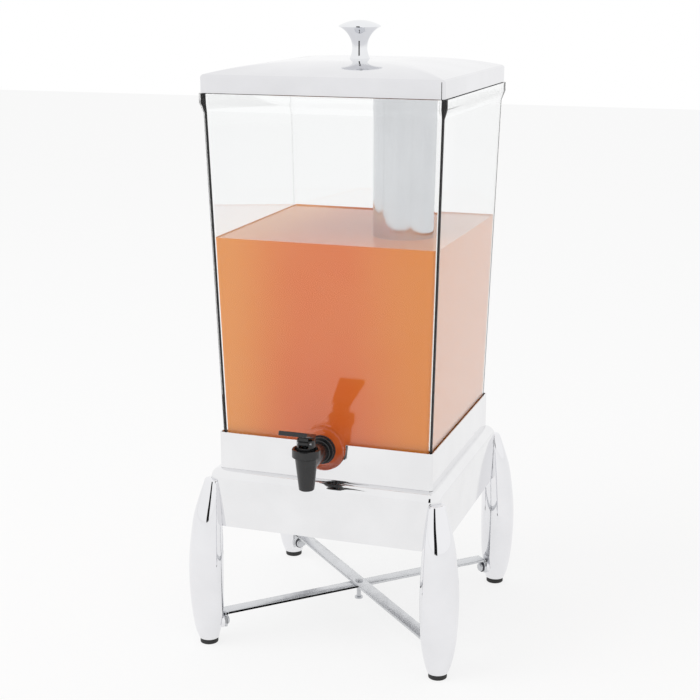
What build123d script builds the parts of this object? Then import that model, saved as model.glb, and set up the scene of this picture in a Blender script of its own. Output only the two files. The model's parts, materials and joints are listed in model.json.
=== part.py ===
from build123d import *
import os
from math import cos, radians, sin, sqrt, tan

# A countertop drink dispenser: a clear square tank with a lift-off lid stands in a polished
# stand on four bowed legs, with a lever tap at the front.
# Frame: +Z up, the tap faces -Y, origin on the floor at the middle of the four feet.
# All sizes are in millimetres.

# %% Clearances
seat_gap = 0.3            # between pieces that only rest on each other and move apart
fixed_gap = 0.05          # around a fixed shank in its hole
running_gap = 0.06        # around a pin that turns or slides in its hole
saddle_gap = 0.15         # between a leg and the curved corner that it hugs

# %% Stand: feet, legs, brace
foot_radius = 9.0
foot_thickness = 5.0
foot_plug_radius = 5.0
foot_plug_length = 7.0
foot_edge = 0.8
leg_stand_off = 10.8      # apron's lower corner to the middle of a foot, along the diagonal

leg_length = 167.0
leg_depth = 33.6          # widest, along the diagonal
leg_width = 38.6          # widest, across the diagonal
leg_wall = 2.2
leg_hollow_share = 0.64   # share of the leg's length that is cored out
# A leg's sections from foot to top: share of its length, lean towards the middle as a share
# of its depth, share of its depth, share of its width.
leg_sections = [
    (0.00, 0.006, 0.58, 0.52),
    (0.06, -0.012, 0.75, 0.69),
    (0.18, -0.018, 0.92, 0.89),
    (0.34, -0.030, 1.00, 0.98),
    (0.50, -0.024, 1.00, 1.00),
    (0.65, 0.015, 0.93, 0.91),
    (0.78, 0.065, 0.82, 0.80),
    (0.89, 0.137, 0.62, 0.64),
    (1.00, 0.220, 0.40, 0.42),
]

brace_bar_width = 14.0
brace_bar_thickness = 2.5
brace_height = 28.0       # floor to the underside of the lower bar
brace_tab_drop = 15.5     # how far a bent end hangs below its bar's top
brace_bend_radius = 4.0
brace_pad_radius = 7.0    # round pad on the leg that the bent end bolts to
brace_pad_recess = 1.8    # the leg's innermost line to the pad's face
brace_pad_length = 6.0    # the pad's face to its root in the leg's wall
brace_screw_height = 19.5
brace_screw_radius = 2.4
brace_screw_bite = 6.0    # how deep the screw goes into the leg
brace_hole_depth = 10.0
brace_head_radius = 4.7
brace_head_height = 2.8
brace_head_round = 2.1
brace_washer_radius = 5.6
brace_washer_thickness = 1.0
brace_rivet_radius = 2.2
brace_rivet_head_radius = 4.2
brace_rivet_head_height = 1.6
brace_rivet_round = 1.1

# %% Stand: apron and collar
apron_clearance = 125.0   # floor to the apron's lower edge
apron_height = 57.0
apron_margin = 9.5        # how far the apron stands out past the collar
apron_sheet = 1.2
apron_shoulder = 9.0      # radius of the rolled top edge
apron_corner_low = 19.0   # corner radius at the lower edge
apron_corner_high = 11.5  # corner radius at the top

collar_width = 215.0
collar_height = 36.7
collar_sheet = 1.2
collar_corner = 2.6
collar_ledge = 11.3       # width of the inner flange that carries the tank
collar_rivet_radius = 1.6
collar_rivet_head_radius = 2.8
collar_rivet_head_height = 1.0
collar_rivet_spacing = 110.0

leg_screw_heights = (13.0, 33.0)    # above the apron's lower edge
leg_screw_radius = 2.0
leg_screw_bite = 6.0                # how deep the screw goes into the leg
leg_hole_spare = 1.0                # the hole goes on past the screw's end
leg_screw_head_radius = 3.6
leg_screw_head_height = 2.4

pad_size = 10.0
pad_thickness = 2.0
pad_corner = 1.5

# %% Tank
tank_side_gap = 1.75      # between the tank's foot and the collar's inside
tank_draft = 1.66         # degrees that each wall leans outwards
tank_height = 359.0       # underside of the floor to the ledge that carries the lid
tank_wall = 3.5
tank_floor = 4.0
tank_corner = 5.0
tank_inner_corner = 2.5
rim_flare = 3.2           # how far the flare leads out from the wall
rim_band_height = 8.5
rim_flare_height = 9.0
rim_corner = 6.0
upstand_height = 10.0
upstand_wall = 2.2
upstand_gap = 0.8         # between the upstand and the lid's skirt

# %% Tap: a boss on the tank carries it
tap_rise = 28.5           # underside of the tank to the tap's barrel
boss_radius = 21.5
boss_proud = 5.0          # how far the boss stands in front of the collar
boss_chamfer = 1.2
notch_gap = 0.6           # around the boss in the collar's notch
inner_boss_radius = 17.0
inner_boss_proud = 1.6
tap_reach = 41.5          # boss face to the nozzle's axis

shank_radius = 8.0
shank_bore_radius = 5.0
shank_tail = 4.0          # thread that stands past the nut
tap_flange_radius = 13.4
tap_flange_thickness = 3.2
tap_ring_radius = 11.0
tap_ring_thickness = 3.0
tap_barrel_radius = 9.3
tap_washer_radius = 14.2
tap_washer_thickness = 1.8
shank_washer_radius = 14.0
shank_washer_thickness = 2.0
shank_nut_radius = 14.0
shank_nut_thickness = 7.0

# Heights in the tap are above or below the barrel's axis.
nozzle_drop = 26.0
nozzle_tip_radius = 7.2
nozzle_top_radius = 10.6
nozzle_bore_radius = 5.0
valve_seat_sink = 1.0     # valve seat below the lowest point of the shank's bore
chamber_radius = 7.2
cup_floor = 6.5
cup_height = 14.0
cup_radius = 13.3
cup_bore_radius = 10.9
cup_neck = 1.5            # height of the slope between nozzle and cup

bonnet_skirt_height = 5.0
bonnet_radius = 8.7
bonnet_top = 23.6
bonnet_spring_bore = 6.3
bonnet_roof = 14.0        # underside of the wall that the spring pushes on
slot_floor = 16.0
slot_half_width = 4.9

lever_press_angle = 24.0
lever_slope = 19.0        # degrees that the lever rises towards its tip
lever_throw = 5.0         # hinge pin to stem pin
lever_pin_height = 20.5
lever_pin_radius = 1.5
lever_pin_length = 14.0
lever_thickness = 4.2
lever_reach = 36.5        # nozzle's axis to the lever's tip, level
lever_root_width = 19.0
lever_tip_width = 27.0
lever_underside = 24.2    # height of the paddle's underside at the nozzle's axis
lever_hub_radius = 3.3
lever_cheek_gap = 4.2
lever_side_gap = 0.25
lever_corner = 1.5
lever_end_wall = 2.2      # behind the stem pin's slot
lever_slot_play = 0.3     # the slot's length over what the pin travels

stem_radius = 2.6
stem_room = 0.4           # between the stem and the lever's fork
stem_tongue_thickness = 3.5
stem_tongue_base = 15.4
stem_tongue_half = 1.7    # half the tongue's width, front to back
stem_tongue_wall = 1.3    # over the stem pin
stem_pin_radius = 1.2
stem_pin_length = 8.6
stem_foot_radius = 3.6
stem_foot_thickness = 1.6
valve_cup_radius = 6.4
valve_cup_height = 3.6
valve_cup_chamfer = 1.2
valve_seat_gap = 0.6      # the stem's foot to the seat
spring_radius = 4.8
spring_wire = 0.8
spring_turns = 4.5
spring_end_gap = 0.1

# %% Drink and ice tube
drink_level = 221.0       # above the tank's floor
drink_gap = 0.3
drink_pocket_radius = 19.0
drink_pocket_gap = 1.0
tube_radius = 30.5
tube_wall = 1.0
tube_side_gap = 18.05     # the tube to the outside of the tank's right wall at its foot
tube_forward = 30.0       # from the tank's middle towards the front
tube_length = 355.0
tube_lip = 0.8            # how far the rolled lip stands out
tube_lip_height = 2.0
tube_lip_round = 0.64
tube_plug_thickness = 8.0
tube_plug_flange = 2.0

# %% Lid and knob
lid_margin = 1.8          # how far the tank's rim stands out past the lid's skirt
lid_skirt = 16.2
lid_sheet = 1.2
lid_corner = 3.6
lid_bead = 2.0            # radius of the rolled edge above the skirt
lid_rise = 11.0           # skirt's top to the crown of the dome
lid_crown_width = 76.0    # flat middle of the dome
knob_height = 35.8
knob_base_radius = 9.9
knob_neck_radius = 7.3
knob_neck_height = 9.8
knob_rim_radius = 20.2
knob_rim_height = 30.6
knob_edge = 1.1
knob_screw_radius = 2.5
knob_screw_bite = 12.0
knob_hole_depth = 14.0
knob_screw_head_radius = 4.6
knob_screw_head_height = 2.8
knob_screw_head_round = 1.4
knob_washer_radius = 8.0
knob_washer_thickness = 1.2

# %% Widths that follow the collar's
apron_width = collar_width + 2 * apron_margin
tank_foot_width = collar_width - 2 * (collar_sheet + tank_side_gap)

# %% Places along the diagonal, from the middle of the stand
corner_share = sqrt(2) - 1      # share of a corner's radius that its rounding takes off
foot_reach = apron_width / sqrt(2) - apron_corner_low * corner_share + leg_stand_off
brace_pad_reach = foot_reach - leg_depth / 2 + brace_pad_recess

# %% Heights above the floor
valve_seat_drop = shank_bore_radius + valve_seat_sink
apron_low_z = apron_clearance
apron_top_z = apron_low_z + apron_height
collar_low_z = apron_top_z
ledge_z = collar_low_z + collar_sheet
tank_low_z = ledge_z + pad_thickness + seat_gap
tank_floor_z = tank_low_z + tank_floor
rim_top_z = tank_low_z + tank_height
rim_band_z = rim_top_z - rim_band_height
rim_flare_z = rim_band_z - rim_flare_height
tank_top_z = rim_top_z + upstand_height
drink_top_z = tank_floor_z + drink_level
tap_z = tank_low_z + tap_rise
lid_low_z = rim_top_z + seat_gap
lid_edge_z = lid_low_z + lid_skirt
lid_crown_z = lid_edge_z + lid_rise
ledge_opening = collar_width - 2 * (collar_sheet + collar_ledge)

# %% Planes: the front of the dispenser, and the diagonal through the front right leg
front_normal = (0, -1, 0)
corner_floor = Plane(origin=(0, 0, 0), x_dir=(1, -1, 0), z_dir=(0, 0, 1))
corner_side = Plane(origin=(0, 0, 0), x_dir=(1, -1, 0), z_dir=(-1, -1, 0))
corner_axis = Axis((0, 0, 0), (1, -1, 0))
tap_side = Plane(origin=(0, 0, tap_z), x_dir=(0, -1, 0), z_dir=(-1, 0, 0))
corner_angles = {"front_right": 0, "back_right": 90, "back_left": 180, "front_left": 270}


def front_plane(y, z):
    """A plane that faces the front, with its own y axis up."""
    return Plane(origin=(0, y, z), x_dir=(1, 0, 0), z_dir=front_normal)


def corner_plane(reach, z, turn=0):
    """A plane across a diagonal, facing outwards; the front right corner has no turn."""
    angle = radians(turn - 45)
    outwards = (cos(angle), sin(angle), 0)
    return Plane(
        origin=(reach * cos(angle), reach * sin(angle), z),
        x_dir=(-sin(angle), cos(angle), 0),
        z_dir=outwards,
    )


def tank_half(z):
    """Half the tank's outer width at a height."""
    return tank_foot_width / 2 + (z - tank_low_z) * tan(radians(tank_draft))


def square_loft(low_width, low_z, high_width, high_z, low_corner, high_corner):
    """A square block with rounded uprights, straight from one size to another."""
    with BuildPart() as block:
        with BuildSketch(Plane.XY.offset(low_z)):
            RectangleRounded(low_width, low_width, low_corner)
        with BuildSketch(Plane.XY.offset(high_z)):
            RectangleRounded(high_width, high_width, high_corner)
        loft(ruled=True)
    return block.part


def shouldered_block(width, low_z, high_z, low_corner, high_corner, shoulder):
    """A square block whose top edge is rolled over."""
    with BuildPart() as block:
        add(square_loft(width, low_z, width, high_z, low_corner, high_corner))
        fillet(block.faces().sort_by(Axis.Z)[-1].edges(), shoulder)
    return block.part


def save(part, name):
    """Names a sub-part and writes its STEP file."""
    part.label = name
    export_step(part, f"parts/{name}.step")


os.makedirs("parts", exist_ok=True)

# %% Apron: a pressed skirt, open below, with an opening in its top under the tank
apron_inner_width = apron_width - 2 * apron_sheet
apron_outside = shouldered_block(
    apron_width, apron_low_z, apron_top_z, apron_corner_low, apron_corner_high, apron_shoulder
)
apron_inside = shouldered_block(
    apron_inner_width,
    apron_low_z,
    apron_top_z - apron_sheet,
    apron_corner_low - apron_sheet,
    apron_corner_high - apron_sheet,
    apron_shoulder - apron_sheet,
)
ledge_line = (collar_width - 2 * collar_sheet - collar_ledge) / 2
rivet_places = [
    (side * collar_rivet_spacing / 2, edge * ledge_line) for side in (-1, 1) for edge in (-1, 1)
]
rivet_places += [(y, x) for x, y in rivet_places]


def corner_reach(z, sheet=0.0):
    """Middle of the stand to the apron's corner at a height, along the diagonal."""
    share = (z - apron_low_z) / apron_height
    radius = apron_corner_low + share * (apron_corner_high - apron_corner_low)
    return apron_width / sqrt(2) - radius * corner_share - sheet


leg_screw_z = [apron_low_z + height for height in leg_screw_heights]

with BuildPart() as stand_apron:
    add(apron_outside)
    add(apron_inside, mode=Mode.SUBTRACT)
    with BuildSketch(Plane.XY.offset(apron_top_z)):
        RectangleRounded(ledge_opening, ledge_opening, pad_size / 2)
    extrude(amount=-2 * apron_sheet, mode=Mode.SUBTRACT)
    with BuildSketch(Plane.XY.offset(apron_top_z)):
        with Locations(*rivet_places):
            Circle(collar_rivet_radius + fixed_gap)
    extrude(amount=-2 * apron_sheet, mode=Mode.SUBTRACT)
    for turn in corner_angles.values():
        for z in leg_screw_z:
            with BuildSketch(corner_plane(corner_reach(z), z, turn)):
                Circle(leg_screw_radius + fixed_gap)
            extrude(amount=2 * apron_sheet, both=True, mode=Mode.SUBTRACT)
save(stand_apron.part, "stand_apron")

# %% Collar: a square band with an inner flange, and a notch for the tap's boss
collar_inner_width = collar_width - 2 * collar_sheet
with BuildPart() as tank_collar:
    with BuildSketch(Plane.XY.offset(collar_low_z)):
        RectangleRounded(collar_width, collar_width, collar_corner)
    extrude(amount=collar_height)
    with BuildSketch(Plane.XY.offset(ledge_z)):
        RectangleRounded(collar_inner_width, collar_inner_width, collar_corner - collar_sheet)
    extrude(amount=collar_height, mode=Mode.SUBTRACT)
    with BuildSketch(Plane.XY.offset(collar_low_z)):
        RectangleRounded(ledge_opening, ledge_opening, pad_size / 2)
        with Locations(*rivet_places):
            Circle(collar_rivet_radius + fixed_gap)
    extrude(amount=2 * collar_sheet, mode=Mode.SUBTRACT)
    with BuildSketch(front_plane(-collar_width / 2, tap_z)):
        Circle(boss_radius + notch_gap)
        Rectangle(
            2 * (boss_radius + notch_gap), collar_height, align=(Align.CENTER, Align.MIN)
        )
    extrude(amount=2 * collar_sheet, both=True, mode=Mode.SUBTRACT)
save(tank_collar.part, "tank_collar")

# %% Rivets that hold the collar's flange on the apron
with BuildPart() as collar_rivets:
    with Locations(*[(x, y, ledge_z) for x, y in rivet_places]):
        Cylinder(
            collar_rivet_head_radius,
            collar_rivet_head_height,
            align=(Align.CENTER, Align.CENTER, Align.MIN),
        )
    with Locations(*[(x, y, apron_top_z - apron_sheet) for x, y in rivet_places]):
        Cylinder(
            collar_rivet_head_radius,
            collar_rivet_head_height,
            align=(Align.CENTER, Align.CENTER, Align.MAX),
        )
        Cylinder(
            collar_rivet_radius,
            apron_sheet + collar_sheet,
            align=(Align.CENTER, Align.CENTER, Align.MIN),
        )
save(collar_rivets.part, "collar_rivets")

# %% Soft pads on the flange's corners
with BuildPart() as seat_pads:
    with BuildSketch(Plane.XY.offset(ledge_z)):
        with GridLocations(2 * ledge_line, 2 * ledge_line, 2, 2):
            RectangleRounded(pad_size, pad_size, pad_corner)
    extrude(amount=pad_thickness)
save(seat_pads.part, "seat_pads")


# %% Legs: bowed and oval, cored from below, cut to hug the apron's corner
def leg_block(inset, low_share, high_share):
    """The leg's own form, or its hollow, between two shares of its length."""
    with BuildPart() as block:
        for share, lean, depth, width in leg_sections:
            if low_share <= share <= high_share:
                with BuildSketch(corner_floor.offset(foot_thickness + share * leg_length)):
                    with Locations((foot_reach - lean * leg_depth, 0)):
                        Ellipse(depth * leg_depth / 2 - inset, width * leg_width / 2 - inset)
        loft()
    return block.part


leg_hollow = leg_block(leg_wall, leg_sections[1][0], leg_hollow_share)
apron_seat = shouldered_block(
    apron_width + 2 * saddle_gap,
    apron_low_z,
    apron_top_z + saddle_gap,
    apron_corner_low + saddle_gap,
    apron_corner_high + saddle_gap,
    apron_shoulder + saddle_gap,
)
foot_place = foot_reach - leg_sections[0][1] * leg_depth

with BuildPart() as leg:
    add(leg_block(0, 0, 1))
    with BuildSketch(corner_plane(brace_pad_reach, brace_screw_height)):
        Circle(brace_pad_radius)
    extrude(amount=brace_pad_length)
    add(leg_hollow, mode=Mode.SUBTRACT)
    with BuildSketch(corner_floor.offset(foot_thickness)):
        with Locations((foot_place, 0)):
            Circle(foot_plug_radius + fixed_gap)
    extrude(amount=leg_sections[1][0] * leg_length + leg_wall, mode=Mode.SUBTRACT)
    add(apron_seat, mode=Mode.SUBTRACT)
    with BuildSketch(corner_plane(brace_pad_reach, brace_screw_height)):
        Circle(brace_screw_radius + fixed_gap)
    extrude(amount=brace_hole_depth, mode=Mode.SUBTRACT)
    for z in leg_screw_z:
        with BuildSketch(corner_plane(corner_reach(z) - leg_wall, z)):
            Circle(leg_screw_radius + fixed_gap)
        extrude(amount=leg_wall + leg_screw_bite + leg_hole_spare, mode=Mode.SUBTRACT)

with BuildPart() as foot:
    with BuildSketch(corner_floor):
        with Locations((foot_place, 0)):
            Circle(foot_radius)
    extrude(amount=foot_thickness)
    fillet(foot.faces().sort_by(Axis.Z)[0].edges(), foot_edge)
    with BuildSketch(corner_floor.offset(foot_thickness)):
        with Locations((foot_place, 0)):
            Circle(foot_plug_radius)
    extrude(amount=foot_plug_length)

for corner, turn in corner_angles.items():
    save(leg.part.rotate(Axis.Z, turn), f"leg_{corner}")
    save(foot.part.rotate(Axis.Z, turn), f"foot_{corner}")

# %% Screws from inside the apron into the legs
with BuildPart() as leg_screw_pair:
    for z in leg_screw_z:
        inner_radius = apron_corner_low - apron_sheet
        sag = inner_radius - sqrt(inner_radius**2 - leg_screw_head_radius**2) + 2 * fixed_gap
        seat = corner_reach(z, apron_sheet) - sag
        with BuildSketch(corner_plane(seat, z)):
            Circle(leg_screw_head_radius)
        extrude(amount=-leg_screw_head_height)
        with BuildSketch(corner_plane(seat, z)):
            Circle(leg_screw_radius)
        extrude(amount=sag + apron_sheet + leg_screw_bite)

with BuildPart() as leg_screws:
    for turn in corner_angles.values():
        add(leg_screw_pair.part.rotate(Axis.Z, turn))
save(leg_screws.part, "leg_screws")


# %% Brace: two crossed bars with bent ends, the upper one lying on the lower one
def brace_bar(low_z):
    """A flat bar along the front right diagonal with both ends bent down."""
    top_z = low_z + brace_bar_thickness
    tab_foot_z = brace_height + brace_bar_thickness - brace_tab_drop
    with BuildPart() as bar:
        with BuildSketch(corner_side):
            with Locations((0, top_z)):
                Rectangle(
                    2 * brace_pad_reach, top_z - tab_foot_z, align=(Align.CENTER, Align.MAX)
                )
            with Locations((0, low_z)):
                Rectangle(
                    2 * (brace_pad_reach - brace_bar_thickness),
                    low_z - tab_foot_z,
                    align=(Align.CENTER, Align.MAX),
                    mode=Mode.SUBTRACT,
                )
        extrude(amount=brace_bar_width / 2, both=True)
        fillet(bar.edges().group_by(Axis.Z)[-1].filter_by(
            lambda edge: abs(edge.length - brace_bar_width) < 0.01), brace_bend_radius)
        with BuildSketch(corner_plane(0, brace_screw_height)):
            Circle(brace_screw_radius + fixed_gap)
        extrude(amount=2 * brace_pad_reach, both=True, mode=Mode.SUBTRACT)
        with BuildSketch(Plane.XY.offset(low_z)):
            Circle(brace_rivet_radius + fixed_gap)
        extrude(amount=brace_bar_thickness, mode=Mode.SUBTRACT)
    return bar.part


save(brace_bar(brace_height).rotate(Axis.Z, 270), "brace_lower_bar")
save(brace_bar(brace_height + brace_bar_thickness), "brace_upper_bar")

with BuildPart() as brace_rivet:
    rivet_top = brace_height + 2 * brace_bar_thickness
    with BuildSketch(Plane.XY.offset(brace_height)):
        Circle(brace_rivet_radius)
    extrude(amount=2 * brace_bar_thickness)
    with BuildSketch(Plane.XY.offset(rivet_top)):
        Circle(brace_rivet_head_radius)
    extrude(amount=brace_rivet_head_height)
    fillet(brace_rivet.faces().sort_by(Axis.Z)[-1].edges(), brace_rivet_round)
    with BuildSketch(Plane.XY.offset(brace_height)):
        Circle(brace_rivet_head_radius)
    extrude(amount=-brace_rivet_head_height)
save(brace_rivet.part, "brace_rivet")

tab_inner_reach = brace_pad_reach - brace_bar_thickness
head_reach = tab_inner_reach - brace_washer_thickness
with BuildPart() as brace_washer:
    with BuildSketch(corner_plane(head_reach, brace_screw_height)):
        Circle(brace_washer_radius)
        Circle(brace_screw_radius + fixed_gap, mode=Mode.SUBTRACT)
    extrude(amount=brace_washer_thickness)

with BuildPart() as brace_screw:
    with BuildSketch(corner_plane(head_reach, brace_screw_height)):
        Circle(brace_screw_radius)
    extrude(amount=brace_washer_thickness + brace_bar_thickness + brace_screw_bite)
    with BuildSketch(corner_plane(head_reach, brace_screw_height)):
        Circle(brace_head_radius)
    extrude(amount=-brace_head_height)
    fillet(brace_screw.faces().sort_by(corner_axis)[0].edges(), brace_head_round)

with BuildPart() as brace_washers:
    for turn in corner_angles.values():
        add(brace_washer.part.rotate(Axis.Z, turn))
save(brace_washers.part, "brace_washers")

with BuildPart() as brace_screws:
    for turn in corner_angles.values():
        add(brace_screw.part.rotate(Axis.Z, turn))
save(brace_screws.part, "brace_screws")

# %% Tank: tapered walls, a flared rim that carries the lid, and a boss for the tap
rim_width = 2 * (tank_half(rim_flare_z) + rim_flare)
lid_width = rim_width - 2 * lid_margin
lid_inner_width = lid_width - 2 * lid_sheet
upstand_width = lid_inner_width - 2 * upstand_gap
boss_face_y = -(collar_width / 2 + boss_proud)
tap_y = boss_face_y - tap_reach
inner_face_y = -(tank_half(tap_z) - tank_wall - inner_boss_proud)
rim_inner_width = upstand_width - 2 * upstand_wall
hollow_top_width = 2 * (tank_half(rim_flare_z) - tank_wall)

with BuildPart() as tank:
    add(square_loft(tank_foot_width, tank_low_z, 2 * tank_half(rim_flare_z), rim_flare_z,
                    tank_corner, tank_corner))
    add(square_loft(2 * tank_half(rim_flare_z), rim_flare_z, rim_width, rim_band_z,
                    tank_corner, rim_corner))
    with BuildSketch(Plane.XY.offset(rim_band_z)):
        RectangleRounded(rim_width, rim_width, rim_corner)
    extrude(amount=rim_band_height)
    with BuildSketch(Plane.XY.offset(rim_top_z)):
        RectangleRounded(upstand_width, upstand_width, tank_corner)
    extrude(amount=upstand_height)
    with BuildSketch(front_plane(-(tank_half(tap_z) - tank_wall / 2), tap_z)):
        Circle(boss_radius)
    extrude(amount=-(boss_face_y + tank_half(tap_z) - tank_wall / 2))
    chamfer(tank.faces().sort_by(Axis.Y)[0].edges(), boss_chamfer)
    add(square_loft(2 * (tank_half(tank_floor_z) - tank_wall), tank_floor_z,
                    hollow_top_width, rim_flare_z, tank_inner_corner, tank_inner_corner),
        mode=Mode.SUBTRACT)
    add(square_loft(hollow_top_width, rim_flare_z, rim_inner_width, tank_top_z,
                    tank_inner_corner, tank_inner_corner), mode=Mode.SUBTRACT)
    with BuildSketch(front_plane(inner_face_y, tap_z)):
        Circle(inner_boss_radius)
    extrude(amount=inner_boss_proud + tank_wall / 2)
    with BuildSketch(front_plane(inner_face_y, tap_z)):
        Circle(shank_radius + running_gap)
    extrude(amount=2 * (inner_face_y - boss_face_y), both=True, mode=Mode.SUBTRACT)
save(tank.part, "tank")

# %% Drink: fills the tank to its level, round the tube and clear of the tap's nut
nut_end_y = inner_face_y + shank_washer_thickness + shank_nut_thickness
shank_end_y = nut_end_y + shank_tail
drink_low_z = tank_floor_z + drink_gap
tube_centre = (tank_foot_width / 2 - tube_side_gap - tube_radius, -tube_forward)
with BuildPart() as drink:
    add(square_loft(2 * (tank_half(drink_low_z) - tank_wall - drink_gap), drink_low_z,
                    2 * (tank_half(drink_top_z) - tank_wall - drink_gap), drink_top_z,
                    tank_inner_corner, tank_inner_corner))
    with BuildSketch(front_plane(shank_end_y + drink_pocket_gap, tap_z)):
        Circle(drink_pocket_radius)
    extrude(amount=boss_radius * 2, mode=Mode.SUBTRACT)
    with BuildSketch(Plane.XY.offset(drink_low_z)):
        with Locations(tube_centre):
            Circle(tube_radius + drink_gap)
    extrude(amount=drink_level, mode=Mode.SUBTRACT)
save(drink.part, "drink")

# %% Tap body: shank, flange, barrel, cup and nozzle in one moulding
flange_face_y = boss_face_y - tap_washer_thickness
ring_face_y = flange_face_y - tap_flange_thickness - tap_ring_thickness
with BuildPart() as tap_body:
    with BuildSketch(tap_side):
        with BuildLine():
            Polyline(
                (-tap_y, -nozzle_drop),
                (-tap_y + nozzle_tip_radius, -nozzle_drop),
                (-tap_y + nozzle_top_radius, cup_floor - cup_neck),
                (-tap_y + cup_radius, cup_floor),
                (-tap_y + cup_radius, cup_height),
                (-tap_y, cup_height),
                close=True,
            )
        make_face()
    revolve(axis=Axis((0, tap_y, 0), (0, 0, 1)))
    with BuildSketch(front_plane(shank_end_y, tap_z)):
        Circle(shank_radius)
    extrude(amount=shank_end_y - flange_face_y)
    with BuildSketch(front_plane(flange_face_y, tap_z)):
        Circle(tap_flange_radius)
    extrude(amount=tap_flange_thickness)
    with BuildSketch(front_plane(flange_face_y - tap_flange_thickness, tap_z)):
        Circle(tap_ring_radius)
    extrude(amount=tap_ring_thickness)
    with BuildSketch(front_plane(ring_face_y, tap_z)):
        Circle(tap_barrel_radius)
    extrude(amount=ring_face_y - tap_y)
    with BuildSketch(Plane.XY.offset(tap_z + cup_floor)):
        with Locations((0, tap_y)):
            Circle(cup_bore_radius)
    extrude(amount=cup_height, mode=Mode.SUBTRACT)
    with BuildSketch(Plane.XY.offset(tap_z - valve_seat_drop)):
        with Locations((0, tap_y)):
            Circle(chamber_radius)
    extrude(amount=valve_seat_drop + cup_floor, mode=Mode.SUBTRACT)
    with BuildSketch(Plane.XY.offset(tap_z - nozzle_drop)):
        with Locations((0, tap_y)):
            Circle(nozzle_bore_radius)
    extrude(amount=nozzle_drop - valve_seat_drop, mode=Mode.SUBTRACT)
    with BuildSketch(front_plane(shank_end_y, tap_z)):
        Circle(shank_bore_radius)
    extrude(amount=shank_end_y - tap_y, mode=Mode.SUBTRACT)
save(tap_body.part, "tap_body")

with BuildPart() as tap_washer:
    with BuildSketch(front_plane(boss_face_y, tap_z)):
        Circle(tap_washer_radius)
        Circle(shank_radius + fixed_gap, mode=Mode.SUBTRACT)
    extrude(amount=tap_washer_thickness)
save(tap_washer.part, "tap_washer")

with BuildPart() as shank_washer:
    with BuildSketch(front_plane(inner_face_y, tap_z)):
        Circle(shank_washer_radius)
        Circle(shank_radius + fixed_gap, mode=Mode.SUBTRACT)
    extrude(amount=-shank_washer_thickness)
save(shank_washer.part, "shank_washer")

with BuildPart() as shank_nut:
    with BuildSketch(front_plane(inner_face_y + shank_washer_thickness, tap_z)):
        RegularPolygon(shank_nut_radius, 6)
        Circle(shank_radius + fixed_gap, mode=Mode.SUBTRACT)
    extrude(amount=-shank_nut_thickness)
save(shank_nut.part, "shank_nut")

# %% Bonnet: screws into the cup, holds the spring down and carries the lever's pin
pin_y = tap_y - lever_throw
with BuildPart() as tap_bonnet:
    with BuildSketch(Plane.XY.offset(tap_z + cup_floor)):
        with Locations((0, tap_y)):
            Circle(cup_bore_radius - fixed_gap)
    extrude(amount=bonnet_skirt_height)
    with BuildSketch(Plane.XY.offset(tap_z + cup_floor)):
        with Locations((0, tap_y)):
            Circle(bonnet_radius)
    extrude(amount=bonnet_top - cup_floor)
    with BuildSketch(Plane.XY.offset(tap_z + cup_floor)):
        with Locations((0, tap_y)):
            Circle(bonnet_spring_bore)
    extrude(amount=bonnet_roof - cup_floor, mode=Mode.SUBTRACT)
    with BuildSketch(Plane.XY.offset(tap_z + cup_floor)):
        with Locations((0, tap_y)):
            Circle(stem_radius + running_gap)
    extrude(amount=bonnet_top, mode=Mode.SUBTRACT)
    with BuildSketch(Plane.XY.offset(tap_z + slot_floor)):
        with Locations((0, tap_y)):
            Rectangle(2 * slot_half_width, 3 * bonnet_radius)
    extrude(amount=bonnet_top, mode=Mode.SUBTRACT)
    with BuildSketch(Plane(origin=(0, pin_y, tap_z + lever_pin_height), z_dir=(1, 0, 0))):
        Circle(lever_pin_radius + fixed_gap)
    extrude(amount=bonnet_radius, both=True, mode=Mode.SUBTRACT)
save(tap_bonnet.part, "tap_bonnet")

with BuildPart() as lever_pin:
    with BuildSketch(Plane(origin=(0, pin_y, tap_z + lever_pin_height), z_dir=(1, 0, 0))):
        Circle(lever_pin_radius)
    extrude(amount=lever_pin_length / 2, both=True)
save(lever_pin.part, "lever_pin")

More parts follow.
